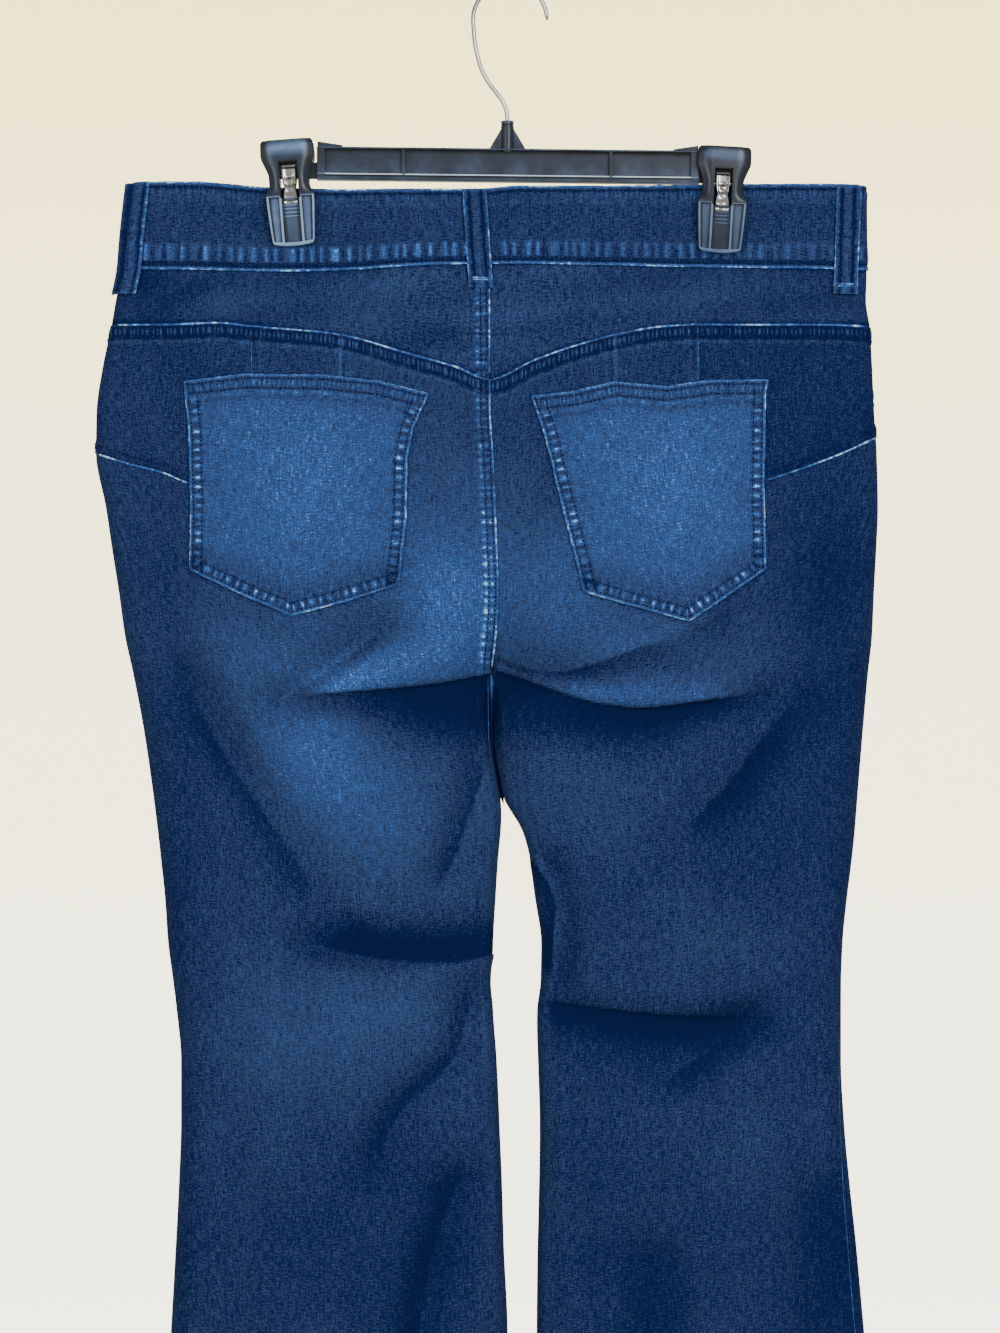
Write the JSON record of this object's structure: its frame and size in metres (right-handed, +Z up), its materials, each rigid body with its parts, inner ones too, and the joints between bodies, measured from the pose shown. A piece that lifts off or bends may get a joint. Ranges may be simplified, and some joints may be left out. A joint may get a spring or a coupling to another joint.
{
  "type": "flared jeans on clip hanger",
  "caption": "Long flared indigo denim jeans with a high yoked seat and patch pockets, held flat by the waistband in the spring clips of a black trouser hanger.",
  "frame": {"origin": "inner top of the wire hook's bend, where a rod or wall hook carries the hanger", "axes": "+Z up; the back of the jeans faces -Y and the front faces +Y; +X runs from the wearer's left to the wearer's right"},
  "size_m": [0.5208, 0.063, 1.243],
  "materials": {
    "denim_faded": "worn indigo twill, faded over the seat and thighs",
    "denim_dark": "dark indigo twill with a light grain",
    "denim_band": "dark indigo twill, doubled, with worn edges",
    "denim_pocket": "pale worn indigo twill with roped edges",
    "zip_tape": "closely woven tape",
    "aged_brass": "dull, rubbed bright on the rim",
    "black_plastic": "moulded, slightly glossy",
    "bright_steel": "drawn wire and strip, bright"
  },
  "bodies": {
    "root": {"back_leg_left": "denim_faded", "back_leg_right": "denim_faded", "front_leg_left": "denim_faded", "front_leg_right": "denim_faded", "back_yoke_left": "denim_dark", "back_yoke_right": "denim_dark", "back_side_left": "denim_dark", "back_side_right": "denim_dark", "waistband_back": "denim_band", "waistband_front_left": "denim_band", "waistband_front_right": "denim_band", "belt_loop_centre": "denim_band", "belt_loop_left": "denim_band", "belt_loop_right": "denim_band", "belt_loop_front_left": "denim_band", "belt_loop_front_right": "denim_band", "back_pocket_left": "denim_pocket", "back_pocket_right": "denim_pocket", "zip": "zip_tape", "shank_button": "aged_brass", "hanger_bar": "black_plastic", "clip_left_front": "black_plastic", "clip_left_back": "black_plastic", "clip_right_front": "black_plastic", "clip_right_back": "black_plastic", "hanger_hook": "bright_steel", "clip_left_spring": "bright_steel", "clip_right_spring": "bright_steel"}
  },
  "joints": []
}
